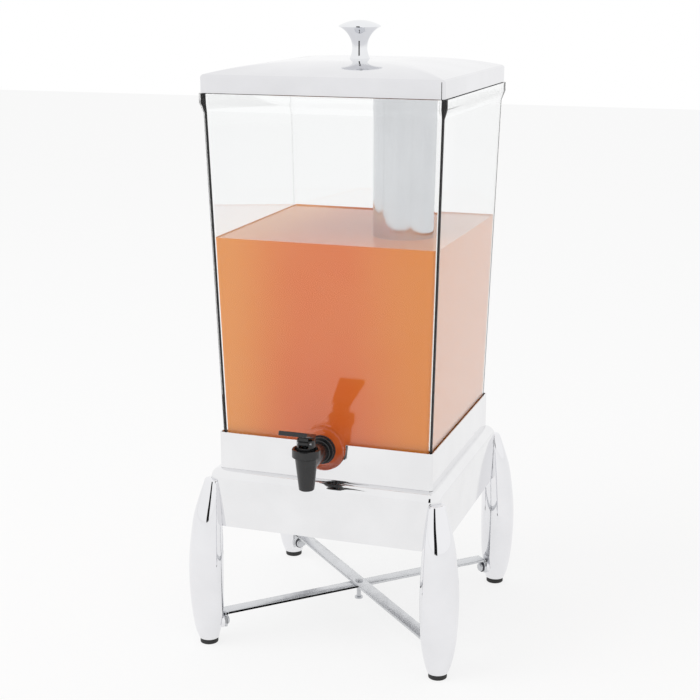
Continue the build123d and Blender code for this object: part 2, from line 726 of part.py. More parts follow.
# %% Lever: a wide paddle over a forked hub, hinged in the bonnet's slot
slope = radians(lever_slope)
paddle_length = lever_reach / cos(slope)
paddle_plane = Plane(
    origin=(0, tap_y, tap_z + lever_underside),
    x_dir=(1, 0, 0),
    z_dir=(0, sin(slope), cos(slope)),
)
pin_rise = lever_throw * radians(lever_press_angle)
press = radians(lever_press_angle)
slot_drift = lever_throw * cos(press) + pin_rise * sin(press) - lever_throw
hub_half = slot_half_width - lever_side_gap
hub_back = slot_drift + stem_pin_radius + lever_end_wall
with BuildPart() as tap_lever:
    with BuildSketch(paddle_plane):
        with BuildLine():
            Polyline(
                (-lever_root_width / 2, 0),
                (lever_root_width / 2, 0),
                (lever_tip_width / 2, -paddle_length),
                (-lever_tip_width / 2, -paddle_length),
                close=True,
            )
        make_face()
    extrude(amount=lever_thickness)
    fillet(tap_lever.edges().filter_by(Axis((0, 0, 0), paddle_plane.z_dir)), lever_corner)
    with BuildSketch(tap_side):
        with BuildLine():
            Polyline(
                (-tap_y + lever_throw + lever_hub_radius, lever_pin_height),
                (-tap_y + lever_throw + lever_hub_radius,
                 lever_underside + lever_throw * tan(slope) + lever_thickness / 2),
                (-tap_y - hub_back, lever_underside - hub_back * tan(slope) + lever_thickness),
                (-tap_y - hub_back, lever_pin_height - lever_hub_radius),
                (-tap_y + lever_throw, lever_pin_height - lever_hub_radius),
                close=True,
            )
        make_face()
    extrude(amount=hub_half, both=True)
    with BuildSketch(tap_side):
        with Locations((-tap_y + lever_throw, lever_pin_height)):
            Circle(lever_pin_radius + running_gap)
        with Locations((-tap_y - slot_drift / 2, lever_pin_height)):
            SlotCenterToCenter(
                slot_drift + lever_slot_play, 2 * (stem_pin_radius + lever_slot_play)
            )
    extrude(amount=slot_half_width, both=True, mode=Mode.SUBTRACT)
    with BuildSketch(tap_side):
        with Locations((-tap_y + stem_radius + stem_room, lever_pin_height - lever_hub_radius)):
            Rectangle(
                hub_back + 2 * stem_radius,
                2 * lever_hub_radius + stem_room,
                align=(Align.MAX, Align.MIN),
            )
    extrude(amount=lever_cheek_gap / 2, both=True, mode=Mode.SUBTRACT)
save(tap_lever.part, "tap_lever")

# %% Valve: a stem with a tongue for its pin, a soft cup on its foot, and a spring
stem_low = valve_seat_gap - valve_seat_drop
tongue_top = lever_pin_height + stem_pin_radius + stem_tongue_wall
with BuildPart() as valve_stem:
    with BuildSketch(Plane.XY.offset(tap_z + stem_low)):
        with Locations((0, tap_y)):
            Circle(stem_radius)
    extrude(amount=stem_tongue_base - stem_low)
    with BuildSketch(Plane.XY.offset(tap_z + stem_low + valve_cup_height)):
        with Locations((0, tap_y)):
            Circle(stem_foot_radius)
    extrude(amount=stem_foot_thickness)
    with BuildSketch(Plane.XY.offset(tap_z + stem_tongue_base)):
        with Locations((0, tap_y)):
            Rectangle(stem_tongue_thickness, 2 * stem_tongue_half)
    extrude(amount=tongue_top - stem_tongue_base)
    with BuildSketch(Plane(origin=(0, tap_y, tap_z + lever_pin_height), z_dir=(1, 0, 0))):
        Circle(stem_pin_radius + fixed_gap)
    extrude(amount=stem_radius, both=True, mode=Mode.SUBTRACT)
save(valve_stem.part, "valve_stem")

with BuildPart() as stem_pin:
    with BuildSketch(Plane(origin=(0, tap_y, tap_z + lever_pin_height), z_dir=(1, 0, 0))):
        Circle(stem_pin_radius)
    extrude(amount=stem_pin_length / 2, both=True)
save(stem_pin.part, "stem_pin")

with BuildPart() as valve_cup:
    with BuildSketch(Plane.XY.offset(tap_z - valve_seat_drop + seat_gap)):
        with Locations((0, tap_y)):
            Circle(valve_cup_radius)
    extrude(amount=valve_cup_height + valve_seat_gap - seat_gap)
    chamfer(valve_cup.faces().sort_by(Axis.Z)[-1].edges(), valve_cup_chamfer)
    with BuildSketch(Plane.XY.offset(tap_z + stem_low)):
        with Locations((0, tap_y)):
            Circle(stem_radius + fixed_gap)
    extrude(amount=valve_cup_height * 2, mode=Mode.SUBTRACT)
save(valve_cup.part, "valve_cup")

spring_seat = stem_low + valve_cup_height + stem_foot_thickness
spring_low = spring_seat + spring_wire / 2 + spring_end_gap
spring_high = bonnet_roof - spring_wire / 2 - spring_end_gap
with BuildPart() as valve_spring:
    with BuildLine():
        coil = Helix(
            pitch=(spring_high - spring_low) / spring_turns,
            height=spring_high - spring_low,
            radius=spring_radius,
            center=(0, tap_y, tap_z + spring_low),
        )
    with BuildSketch(Plane(origin=coil @ 0, z_dir=coil % 0)):
        Circle(spring_wire / 2)
    sweep()
save(valve_spring.part, "valve_spring")

# %% Ice tube: stands on the tank's floor
tube_low_z = tank_floor_z + seat_gap
with BuildPart() as ice_tube:
    with BuildSketch(Plane.XY.offset(tube_low_z + tube_plug_flange)):
        with Locations(tube_centre):
            Circle(tube_radius)
    extrude(amount=tube_length - tube_plug_flange)
    with BuildSketch(Plane.XY.offset(tube_low_z + tube_length - tube_lip_height)):
        with Locations(tube_centre):
            Circle(tube_radius + tube_lip)
    extrude(amount=tube_lip_height)
    fillet(ice_tube.faces().sort_by(Axis.Z)[-1].edges(), tube_lip_round)
    with BuildSketch(Plane.XY.offset(tube_low_z)):
        with Locations(tube_centre):
            Circle(tube_radius - tube_wall)
    extrude(amount=tube_length, mode=Mode.SUBTRACT)
save(ice_tube.part, "ice_tube")

with BuildPart() as ice_tube_plug:
    with BuildSketch(Plane.XY.offset(tube_low_z)):
        with Locations(tube_centre):
            Circle(tube_radius)
    extrude(amount=tube_plug_flange)
    with BuildSketch(Plane.XY.offset(tube_low_z + tube_plug_flange)):
        with Locations(tube_centre):
            Circle(tube_radius - tube_wall - fixed_gap)
    extrude(amount=tube_plug_thickness - tube_plug_flange)
save(ice_tube_plug.part, "ice_tube_plug")


# %% Lid: a pressed pan whose top is a shallow vault, flat in the middle
def vault(width, low_z, edge_z, crown_z, corner, bead):
    """A square block under a vault: where two arched blocks, one along each way, meet."""
    flat = lid_crown_width / 2
    run = width / 2 - flat
    rise = crown_z - edge_z
    arc_radius = (run**2 + rise**2) / (2 * rise)
    with BuildPart() as arched:
        with BuildSketch(Plane.XZ) as profile:
            with BuildLine():
                Line((-width / 2, low_z), (width / 2, low_z))
                Line((width / 2, low_z), (width / 2, edge_z))
                RadiusArc((width / 2, edge_z), (flat, crown_z), -arc_radius)
                Line((flat, crown_z), (-flat, crown_z))
                RadiusArc((-flat, crown_z), (-width / 2, edge_z), -arc_radius)
                Line((-width / 2, edge_z), (-width / 2, low_z))
            make_face()
            fillet(profile.vertices().group_by(Axis.Y)[1], bead)
        extrude(amount=width / 2, both=True)
    with BuildPart() as block:
        with BuildSketch(Plane.XY.offset(low_z)):
            RectangleRounded(width, width, corner)
        extrude(amount=crown_z - low_z)
        add(arched.part, mode=Mode.INTERSECT)
        add(arched.part.rotate(Axis.Z, 90), mode=Mode.INTERSECT)
    return block.part


with BuildPart() as lid_cover:
    add(vault(lid_width, lid_low_z, lid_edge_z, lid_crown_z, lid_corner, lid_bead))
    add(
        vault(
            lid_inner_width,
            lid_low_z,
            lid_edge_z - lid_sheet,
            lid_crown_z - lid_sheet,
            lid_corner - lid_sheet,
            lid_bead - lid_sheet,
        ),
        mode=Mode.SUBTRACT,
    )
    with BuildSketch(Plane.XY.offset(lid_crown_z)):
        Circle(knob_screw_radius + fixed_gap)
    extrude(amount=-2 * lid_sheet, mode=Mode.SUBTRACT)
save(lid_cover.part, "lid_cover")

# %% Knob: a turned trumpet with a waist
knob_dome = knob_height - knob_rim_height
knob_top_arc = (knob_rim_radius**2 + knob_dome**2) / (2 * knob_dome)
with BuildPart() as lid_knob:
    neck = (knob_neck_radius, lid_crown_z + knob_neck_height)
    rim_low = (knob_rim_radius, lid_crown_z + knob_rim_height - knob_edge)
    rim_high = (knob_rim_radius, lid_crown_z + knob_rim_height)
    with BuildSketch(Plane.XZ):
        with BuildLine():
            Line((0, lid_crown_z), (knob_base_radius, lid_crown_z))
            TangentArc(neck, (knob_base_radius, lid_crown_z), tangent=(0, -1))
            TangentArc(neck, rim_low, tangent=(0, 1))
            Line(rim_low, rim_high)
            RadiusArc(rim_high, (0, lid_crown_z + knob_height), -knob_top_arc)
            Line((0, lid_crown_z + knob_height), (0, lid_crown_z))
        make_face()
    revolve(axis=Axis.Z)
    with BuildSketch(Plane.XY.offset(lid_crown_z)):
        Circle(knob_screw_radius + fixed_gap)
    extrude(amount=knob_hole_depth, mode=Mode.SUBTRACT)
save(lid_knob.part, "lid_knob")

washer_top_z = lid_crown_z - lid_sheet
with BuildPart() as knob_washer:
    with BuildSketch(Plane.XY.offset(washer_top_z)):
        Circle(knob_washer_radius)
        Circle(knob_screw_radius + fixed_gap, mode=Mode.SUBTRACT)
    extrude(amount=-knob_washer_thickness)
save(knob_washer.part, "knob_washer")

head_top_z = washer_top_z - knob_washer_thickness
with BuildPart() as knob_screw:
    with BuildSketch(Plane.XY.offset(head_top_z)):
        Circle(knob_screw_radius)
    extrude(amount=lid_crown_z - head_top_z + knob_screw_bite)
    with BuildSketch(Plane.XY.offset(head_top_z)):
        Circle(knob_screw_head_radius)
    extrude(amount=-knob_screw_head_height)
    fillet(knob_screw.faces().sort_by(Axis.Z)[0].edges(), knob_screw_head_round)
save(knob_screw.part, "knob_screw")
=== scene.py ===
# %% [markdown]
# # A countertop drink dispenser
# A clear square tank of juice stands in a polished stand on four bowed legs. It has a pressed
# lid with a turned knob, an ice tube inside, and a black lever tap at the front. The packed
# CAD frame gives every size and place. Each step makes one piece or one finish over it.

# %% Load the frame
import bmesh
import bpy
import json
import math
from mathutils import Matrix, Vector


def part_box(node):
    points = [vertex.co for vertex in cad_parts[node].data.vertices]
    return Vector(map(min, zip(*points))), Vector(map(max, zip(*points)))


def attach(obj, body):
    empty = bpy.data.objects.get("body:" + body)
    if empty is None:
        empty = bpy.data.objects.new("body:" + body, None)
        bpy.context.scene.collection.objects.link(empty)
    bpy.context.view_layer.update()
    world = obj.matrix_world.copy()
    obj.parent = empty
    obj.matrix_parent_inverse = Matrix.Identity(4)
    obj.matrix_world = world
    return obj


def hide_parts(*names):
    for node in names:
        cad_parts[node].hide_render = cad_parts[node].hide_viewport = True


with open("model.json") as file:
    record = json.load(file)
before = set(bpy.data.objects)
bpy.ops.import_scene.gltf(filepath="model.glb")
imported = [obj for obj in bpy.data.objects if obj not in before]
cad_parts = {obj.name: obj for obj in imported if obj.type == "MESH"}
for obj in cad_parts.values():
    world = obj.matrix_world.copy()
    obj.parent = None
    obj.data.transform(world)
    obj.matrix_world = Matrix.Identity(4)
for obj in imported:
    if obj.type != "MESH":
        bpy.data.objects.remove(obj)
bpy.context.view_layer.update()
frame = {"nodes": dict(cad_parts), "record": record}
scene = bpy.context.scene

# %% [markdown]
# ## Camera
# The camera stands a little to the right of the front and looks slightly down. It comes
# first, so that each later step can be looked at from the final place.

# %% Set up the camera
azimuth, elevation = math.radians(18.77), math.radians(14.70)
camera_place = Vector((0.44103, -1.32675, 0.65009))
camera_back = Vector((
    math.sin(azimuth) * math.cos(elevation),
    -math.cos(azimuth) * math.cos(elevation),
    math.sin(elevation),
))
camera = bpy.data.objects.new("camera", bpy.data.cameras.new("camera"))
camera.data.sensor_width = 36.0
camera.data.lens = 73.756
camera.location = camera_place
camera.rotation_mode = "QUATERNION"
camera.rotation_quaternion = (-camera_back).to_track_quat("-Z", "Y")
scene.collection.objects.link(camera)
scene.camera = camera
print("camera stands", round(camera_place.length, 3), "m from the origin")

# %% [markdown]
# ## Finishes
# A finish is a small node tree. One helper adds a node and sets its inputs by name, another
# starts a material with a Principled shader, so each finish below reads as a short recipe.

# %% Helpers for materials
finishes = {}


def add_node(material, kind, settings=None, **inputs):
    """Adds a shader node; settings are its own properties, and inputs are its sockets."""
    node = material.node_tree.nodes.new(kind)
    for name, value in (settings or {}).items():
        setattr(node, name, value)
    for name, value in inputs.items():
        socket = node.inputs[name.replace("_", " ")]
        if isinstance(value, bpy.types.NodeSocket):
            material.node_tree.links.new(value, socket)
        else:
            socket.default_value = value
    return node


def new_finish(slot, **inputs):
    """A material with a Principled shader, kept under its slot's name."""
    material = bpy.data.materials.new(slot)
    material.use_nodes = True
    material.node_tree.nodes.clear()
    shader = add_node(material, "ShaderNodeBsdfPrincipled", **inputs)
    output = add_node(material, "ShaderNodeOutputMaterial")
    material.node_tree.links.new(shader.outputs["BSDF"], output.inputs["Surface"])
    finishes[slot] = material
    return material, shader, output


def object_coordinates(material, scale=(1, 1, 1)):
    """Object coordinates in metres, stretched by a Mapping node."""
    source = add_node(material, "ShaderNodeTexCoord")
    mapping = add_node(
        material, "ShaderNodeMapping", Vector=source.outputs["Object"], Scale=scale
    )
    return mapping.outputs["Vector"]


def noise(material, vector, scale, detail=3.0, roughness=0.5):
    """A noise texture's value."""
    return add_node(
        material, "ShaderNodeTexNoise",
        Vector=vector, Scale=scale, Detail=detail, Roughness=roughness,
    ).outputs["Fac"]


def spread(material, value, low, high, start=0.3, end=0.7):
    """Maps the middle of a noise value onto a range."""
    return add_node(
        material, "ShaderNodeMapRange",
        **{"Value": value, "From_Min": start, "From_Max": end, "To_Min": low, "To_Max": high},
    ).outputs["Result"]


def blend_colours(material, factor, first, second):
    """Mixes two colours, or colour sockets, by a factor."""
    mix = add_node(material, "ShaderNodeMix", {"data_type": "RGBA"})
    links = material.node_tree.links
    for socket, value in ((mix.inputs[0], factor), (mix.inputs[6], first), (mix.inputs[7], second)):
        if isinstance(value, bpy.types.NodeSocket):
            links.new(value, socket)
        else:
            socket.default_value = value
    return mix.outputs[2]


def connect(material, socket, shader, name):
    """Links a socket to one of the shader's inputs."""
    material.node_tree.links.new(socket, shader.inputs[name])


def add_bump(material, shader, height, strength, distance):
    """Feeds a height into the shader's normal."""
    bump = add_node(
        material, "ShaderNodeBump", Height=height, Strength=strength, Distance=distance
    )
    connect(material, bump.outputs["Normal"], shader, "Normal")


print("material helpers are ready")

# %% [markdown]
# ### Polished metals
# Pressed and polished steel is nearly a mirror. What tells it from a perfect one is a faint
# waviness from the press, fine hairlines from cloths, and patches where it is a little
# duller. Stretched noise gives hairlines, broad noise gives the patches and the waves.

# %% Polished metals
def metal(slot, colour, dull, bright, wave, grain=(1, 1, 1), hairlines=0.02):
    """A polished metal between two roughnesses, with a wave in its surface."""
    material, shader = new_finish(slot, Metallic=1.0)[:2]
    broad = noise(material, object_coordinates(material), 22.0)
    lines = noise(material, object_coordinates(material, grain), 900.0, 2.0)
    patches = spread(material, broad, bright, dull)
    fine = spread(material, lines, -hairlines, hairlines)
    total = add_node(
        material, "ShaderNodeMath", {"operation": "ADD", "use_clamp": True}
    )
    material.node_tree.links.new(patches, total.inputs[0])
    material.node_tree.links.new(fine, total.inputs[1])
    connect(material, total.outputs[0], shader, "Roughness")
    darker = tuple(0.95 * channel for channel in colour) + (1,)
    tint = blend_colours(material, spread(material, broad, 0, 1), tuple(colour) + (1,), darker)
    connect(material, tint, shader, "Base Color")
    waves = noise(material, object_coordinates(material, grain), 9.0, 1.0)
    add_bump(material, shader, waves, 1.0, wave)
    return material


metal("polished_steel", (0.86, 0.86, 0.87), 0.07, 0.03, 0.0006, (1, 1, 0.08))
metal("polished_lid", (0.80, 0.80, 0.82), 0.10, 0.05, 0.0006, (1, 0.08, 1))
metal("leg_chrome", (0.86, 0.86, 0.88), 0.05, 0.02, 0.0002)
metal("knob_chrome", (0.84, 0.85, 0.87), 0.05, 0.02, 0.0001)
metal("tube_steel", (0.72, 0.73, 0.75), 0.16, 0.10, 0.0003, (1, 1, 0.08))
metal("brushed_bar", (0.66, 0.67, 0.69), 0.30, 0.22, 0.0002, (0.1, 0.1, 1), 0.06)
metal("plain_steel", (0.60, 0.61, 0.63), 0.35, 0.25, 0.0001)
metal("dark_screw", (0.10, 0.10, 0.11), 0.35, 0.25, 0.0001)
print("metals:", sorted(finishes))

# %% [markdown]
# ### Rubber, silicone and black plastic
# Soft and moulded parts have no hairlines. A fine bump breaks up their highlights, and dust
# makes their colour and roughness uneven.

# %% Rubber, silicone and black plastic
def moulded(slot, colour, dust, dull, bright, grain_scale, grain_depth):
    """A moulded finish whose colour goes towards a dust colour in patches."""
    material, shader = new_finish(slot)[:2]
    place = object_coordinates(material)
    patches = noise(material, place, 60.0)
    tint = blend_colours(
        material, spread(material, patches, 0, 1), tuple(colour) + (1,), tuple(dust) + (1,)
    )
    connect(material, tint, shader, "Base Color")
    connect(material, spread(material, patches, bright, dull), shader, "Roughness")
    add_bump(material, shader, noise(material, place, grain_scale), 0.4, grain_depth)
    return material


moulded("soft_rubber", (0.020, 0.020, 0.021), (0.035, 0.034, 0.033), 0.75, 0.6, 1500, 0.0001)
moulded("pale_silicone", (0.72, 0.73, 0.74), (0.66, 0.66, 0.66), 0.55, 0.4, 1200, 0.0001)
moulded("black_plastic", (0.012, 0.012, 0.013), (0.020, 0.020, 0.021), 0.28, 0.18, 900, 0.00003)
print("moulded finishes are ready")

# %% [markdown]
# ### Clear plastic
# The tank is thick clear plastic, so it bends light. Light that only passes through it on its
# way to the juice shouldn't be lost, so shadow rays and diffuse rays meet a plain transparent
# shader instead.

# %% Clear plastic
material, shader, output = new_finish(
    "clear_plastic",
    **{"Base_Color": (0.985, 0.99, 0.99, 1), "IOR": 1.46, "Transmission_Weight": 1.0},
)
haze = noise(material, object_coordinates(material), 35.0)
connect(material, spread(material, haze, 0.0, 0.03), shader, "Roughness")
add_bump(material, shader, noise(material, object_coordinates(material), 12.0, 1.0), 1.0, 0.0001)
rays = add_node(material, "ShaderNodeLightPath")
through = add_node(material, "ShaderNodeMath", {"operation": "MAXIMUM"})
material.node_tree.links.new(rays.outputs["Is Shadow Ray"], through.inputs[0])
material.node_tree.links.new(rays.outputs["Is Diffuse Ray"], through.inputs[1])
open_way = add_node(material, "ShaderNodeBsdfTransparent", Color=(0.97, 0.975, 0.975, 1))
mix = add_node(material, "ShaderNodeMixShader")
links = material.node_tree.links
links.new(through.outputs[0], mix.inputs[0])
links.new(shader.outputs["BSDF"], mix.inputs[1])
links.new(open_way.outputs["BSDF"], mix.inputs[2])
links.new(mix.outputs["Shader"], output.inputs["Surface"])
print("clear plastic is ready")

# %% [markdown]
# ### Juice
# Juice is cloudy. Its colour has painted light and shade in it: light is taken to reach deepest
# near the walls' corners, so the juice is painted yellower there, and least in the middle of a
# wall and low down, so it is painted redder there. Two gradients on Object coordinates paint
# that, and a faint noise keeps the cloudiness uneven.

# %% Juice, with painted light and shade
material, shader = new_finish("drink", **{"IOR": 1.34, "Roughness": 0.06})[:2]
source = add_node(material, "ShaderNodeTexCoord")
axes = add_node(material, "ShaderNodeSeparateXYZ", Vector=source.outputs["Object"])
side = add_node(material, "ShaderNodeMath", {"operation": "ABSOLUTE"})
links = material.node_tree.links
links.new(axes.outputs["X"], side.inputs[0])
# Painted light: a mask that grows towards the left and right walls, where the juice is painted
# yellower.
painted_light_mask = add_node(
    material, "ShaderNodeMapRange", {"interpolation_type": "SMOOTHSTEP"},
    Value=side.outputs[0], From_Min=0.015, From_Max=0.100,
)
cloud = noise(material, object_coordinates(material), 14.0)
# Painted shade: the juice is painted redder low down and in the middle of a wall.
painted_shade_colour = blend_colours(
    material, spread(material, axes.outputs["Z"], 0, 1, 0.19, 0.33),
    (0.78, 0.105, 0.018, 1), (0.80, 0.17, 0.030, 1),
)
# Painted light: a yellower colour near the left and right walls, a little lighter on the left.
painted_light_colour = blend_colours(
    material, spread(material, axes.outputs["X"], 0, 1, -0.09, 0.09),
    (0.86, 0.30, 0.060, 1), (0.82, 0.24, 0.020, 1),
)
juice = blend_colours(material, painted_light_mask.outputs["Result"], painted_shade_colour, painted_light_colour)
cloudy = blend_colours(
    material, spread(material, cloud, 0.0, 0.15), juice, (0.85, 0.34, 0.10, 1)
)
connect(material, cloudy, shader, "Base Color")
print("finishes:", len(finishes))

# %% [markdown]
# ### Finishes for the CAD nodes
# Small parts such as pins, springs and rivets keep their CAD meshes. The record says which
# slot each one takes its finish from.

# %% Give each CAD node its finish
for part in frame["record"]["subparts"]:
    mesh = frame["nodes"][part["node"]].data
    mesh.materials.clear()
    mesh.materials.append(finishes[part["material_slot"]])

# %% [markdown]
# ## Helpers for pieces
# Most of the dispenser is made in two ways. Pressed and moulded square parts are skins over
# level rings that have rounded corners. Turned parts are a profile spun round an axis.

# %% Helpers for pieces
corner_steps = 8


def square_ring(bm, half, corner, z):
    """A level square loop with rounded corners; returns its edges."""
    made = bmesh.ops.create_circle(
        bm, cap_ends=True, segments=4, radius=half * math.sqrt(2),
        matrix=Matrix.Translation((0, 0, z)) @ Matrix.Rotation(math.radians(45), 4, "Z"),
    )
    rounded = bmesh.ops.bevel(
        bm, geom=made["verts"], affect="VERTICES", offset=corner,
        segments=corner_steps, profile=0.5, material=-1,
    )
    face = rounded["verts"][0].link_faces[0]
    edges = list(face.edges)
    bmesh.ops.delete(bm, geom=[face], context="FACES_ONLY")
    return edges


def skin(bm, loops):
    """Joins each loop to the next one with faces."""
    for low, high in zip(loops, loops[1:]):
        bmesh.ops.bridge_loops(bm, edges=low + high)


def cap(bm, loop):
    """Closes a loop with one face."""
    bmesh.ops.contextual_create(bm, geom=loop)


def arc(centre, radius, start, end, steps):
    """Points on an arc from one angle to another, in degrees."""
    angles = [math.radians(start + (end - start) * i / steps) for i in range(steps + 1)]
    return [(centre[0] + radius * math.cos(a), centre[1] + radius * math.sin(a)) for a in angles]


def turned(bm, profile, place=Matrix.Identity(4), steps=72, closed=False):
    """Spins a profile of (radius, height) points round Z, then puts it in its place."""
    verts = [bm.verts.new((radius, 0, height)) for radius, height in profile]
    pairs = list(zip(verts, verts[1:])) + ([(verts[-1], verts[0])] if closed else [])
    edges = [bm.edges.new(pair) for pair in pairs]
    before = set(bm.verts) - set(verts)
    bmesh.ops.spin(
        bm, geom=verts + edges, cent=(0, 0, 0), axis=(0, 0, 1),
        angle=math.tau, steps=steps, use_merge=True,
    )
    new = [vert for vert in bm.verts if vert not in before]
    bmesh.ops.remove_doubles(bm, verts=new, dist=1e-6)
    new = [vert for vert in bm.verts if vert not in before]
    bmesh.ops.transform(bm, matrix=place, verts=new)


def soften(bm, width, segments=2, angle=35):
    """Rounds the sharp edges."""
    sharp = [
        edge for edge in bm.edges
        if edge.is_manifold and edge.calc_face_angle() > math.radians(angle)
    ]
    bmesh.ops.bevel(
        bm, geom=sharp, affect="EDGES", offset=width, segments=segments,
        profile=0.5, material=-1, clamp_overlap=True,
    )


def to_object(name, bm, sharp=35):
    """An object made of the bmesh, smooth but for its sharp edges."""
    bmesh.ops.recalc_face_normals(bm, faces=bm.faces)
    mesh = bpy.data.meshes.new(name)
    bm.to_mesh(mesh)
    bm.free()
    mesh.shade_smooth()
    mesh.set_sharp_from_angle(angle=math.radians(sharp))
    made = bpy.data.objects.new(name, mesh)
    scene.collection.objects.link(made)
    return made


def dress(piece, slot, body, *nodes):
    """Gives a piece its finish and its body, and hides the CAD nodes it stands for."""
    piece.data.materials.clear()
    piece.data.materials.append(finishes[slot])
    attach(piece, body)
    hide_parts(*nodes)
    print(piece.name, "has", len(piece.data.polygons), "faces")
    return piece


def thicken(piece, thickness, edge=0.0):
    """Gives a skin its sheet thickness inwards, and rounds the sheet's edges."""
    sheet = piece.modifiers.new("sheet", "SOLIDIFY")
    sheet.thickness = thickness
    sheet.offset = -1.0
    sheet.use_even_offset = True
    if edge:
        rounding = piece.modifiers.new("edges", "BEVEL")
        rounding.width = edge
        rounding.segments = 2
        rounding.limit_method = "ANGLE"
        rounding.angle_limit = math.radians(50)


def flatten_shading(piece):
    """Keeps flat panels flat in their reflections, next to rounded edges."""
    weights = piece.modifiers.new("flat panels", "WEIGHTED_NORMAL")
    weights.keep_sharp = True
    weights.weight = 100


def combine(piece, other, operation):
    """Adds another solid to the piece or cuts it away, and removes the other."""
    step = piece.modifiers.new("combine", "BOOLEAN")
    step.object = other
    step.operation = operation
    step.solver = "EXACT"
    graph = bpy.context.evaluated_depsgraph_get()
    mesh = bpy.data.meshes.new_from_object(piece.evaluated_get(graph))
    piece.modifiers.clear()
    piece.data = mesh
    bpy.data.objects.remove(other)


def place_along(axis, place):
    """A matrix that stands a turned part's Z along an axis, at a place."""
    turn = Vector(axis).to_track_quat("Z", "Y").to_matrix().to_4x4()
    return Matrix.Translation(place) @ turn


print("piece helpers are ready")

# %% [markdown]
# ## Apron
# The apron is one pressed sheet: a skirt whose top edge is rolled over, with corners that
# open out towards the bottom. Rings up its outside make the skirt and the rolled shoulder, a
# last ring makes the opening, and the skin gets the sheet's thickness.

# %% Apron
sheet = 0.0012
apron_low, apron_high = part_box("stand_apron")
apron_half = apron_high.x
apron_shoulder = 0.009
apron_corner_low, apron_corner_high = 0.019, 0.0115
well_half, well_corner = 0.095, 0.005

bm = bmesh.new()
low = square_ring(bm, apron_half, apron_corner_low, apron_low.z)
high = square_ring(bm, apron_half, apron_corner_high, apron_high.z - apron_shoulder)
shoulder = [
    square_ring(
        bm, apron_half - apron_shoulder + dx, apron_corner_high - apron_shoulder + dx,
        apron_high.z - apron_shoulder + dz,
    )
    for dx, dz in arc((0, 0), apron_shoulder, 9, 90, 9)
]
well = square_ring(bm, well_half, well_corner, apron_high.z)
skin(bm, [low, high, *shoulder, well])
apron = to_object("apron", bm, 60)
thicken(apron, sheet, 0.0002)
flatten_shading(apron)
dress(apron, "polished_steel", "stand", "stand_apron")

# %% [markdown]
# ## Collar
# The collar is a square band that holds the tank's foot. Its front has a notch, round below
# and open above, so that the tap's boss can drop into it. Its inner flange lies on the apron.
# The front panel is made anew as one face round the notch's outline.

# %% Collar
collar_low, collar_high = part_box("tank_collar")
collar_half, collar_corner = collar_high.x, 0.0026
boss_radius = 0.0215
notch_radius = boss_radius + 0.0006
tap_z = 0.214

bm = bmesh.new()
low = square_ring(bm, collar_half, collar_corner, collar_low.z)
high = square_ring(bm, collar_half, collar_corner, collar_high.z)
skin(bm, [low, high])
front = min(bm.faces, key=lambda face: face.calc_center_median().y)
top_edge = max(front.edges, key=lambda edge: edge.verts[0].co.z + edge.verts[1].co.z)
top_left, top_right = sorted(top_edge.verts, key=lambda vert: vert.co.x)
sides_and_bottom = [edge for edge in front.edges if edge != top_edge]
bmesh.ops.delete(bm, geom=[front], context="FACES_ONLY")
bmesh.ops.delete(bm, geom=[top_edge], context="EDGES")
lip = bm.verts.new((notch_radius, -collar_half, collar_high.z))
turn_in = bm.verts.new((notch_radius, -collar_half, tap_z))
swept = bmesh.ops.spin(
    bm, geom=[turn_in], cent=(0, -collar_half, tap_z), axis=(0, 1, 0),
    angle=math.pi, steps=32,
)
turn_out = swept["geom_last"][0]
lip_out = bm.verts.new((-notch_radius, -collar_half, collar_high.z))
for pair in ((top_right, lip), (lip, turn_in), (turn_out, lip_out), (lip_out, top_left)):
    bm.edges.new(pair)
panel = [edge for edge in bm.edges if edge.is_wire or edge in sides_and_bottom]
bmesh.ops.contextual_create(bm, geom=panel)
well = square_ring(bm, well_half, well_corner, collar_low.z)
skin(bm, [well, low])
collar = to_object("collar", bm, 60)
thicken(collar, sheet, 0.0002)
flatten_shading(collar)
dress(collar, "polished_steel", "stand", "tank_collar")

# %% [markdown]
# ## Legs
# Each leg is a bowed oval that is widest at a third of its height and narrows into the
# apron's corner. Ellipses at a few stations give its outline, a smooth curve through them
# gives the rest, and the apron's own block cuts the seat that hugs the corner.

# %% Legs
leg_low, leg_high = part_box("leg_front_right")
leg_length = leg_high.z - leg_low.z
leg_depth, leg_width = 0.0336, 0.0386
foot_low, foot_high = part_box("foot_front_right")
foot_radius = (foot_high.x - foot_low.x) / 2
foot_place = (foot_high.x - foot_radius) * math.sqrt(2)
leg_reach = foot_place + 0.006 * leg_depth
# Share of the length, lean towards the middle, and shares of the depth and the width.
leg_stations = [
    (0.00, 0.006, 0.58, 0.52),
    (0.06, -0.012, 0.75, 0.69),
    (0.18, -0.018, 0.92, 0.89),
    (0.34, -0.030, 1.00, 0.98),
    (0.50, -0.024, 1.00, 1.00),
    (0.65, 0.015, 0.93, 0.91),
    (0.78, 0.065, 0.82, 0.80),
    (0.89, 0.137, 0.62, 0.64),
    (1.00, 0.220, 0.40, 0.42),
]
leg_edge = 0.0008
pad_reach, pad_height, pad_radius = 0.1584, 0.0195, 0.007
pad_out, pad_in = 0.005, 0.004
seat_gap, seat_top_corner = 0.00015, 0.0025
corner_turns = {"front_right": -45, "back_right": 45, "back_left": 135, "front_left": -135}


def slope_at(points, i, k):
    """Slope of column k at station i, from its neighbours."""
    before, after = points[max(i - 1, 0)], points[min(i + 1, len(points) - 1)]
    return (after[k] - before[k]) / (after[0] - before[0])


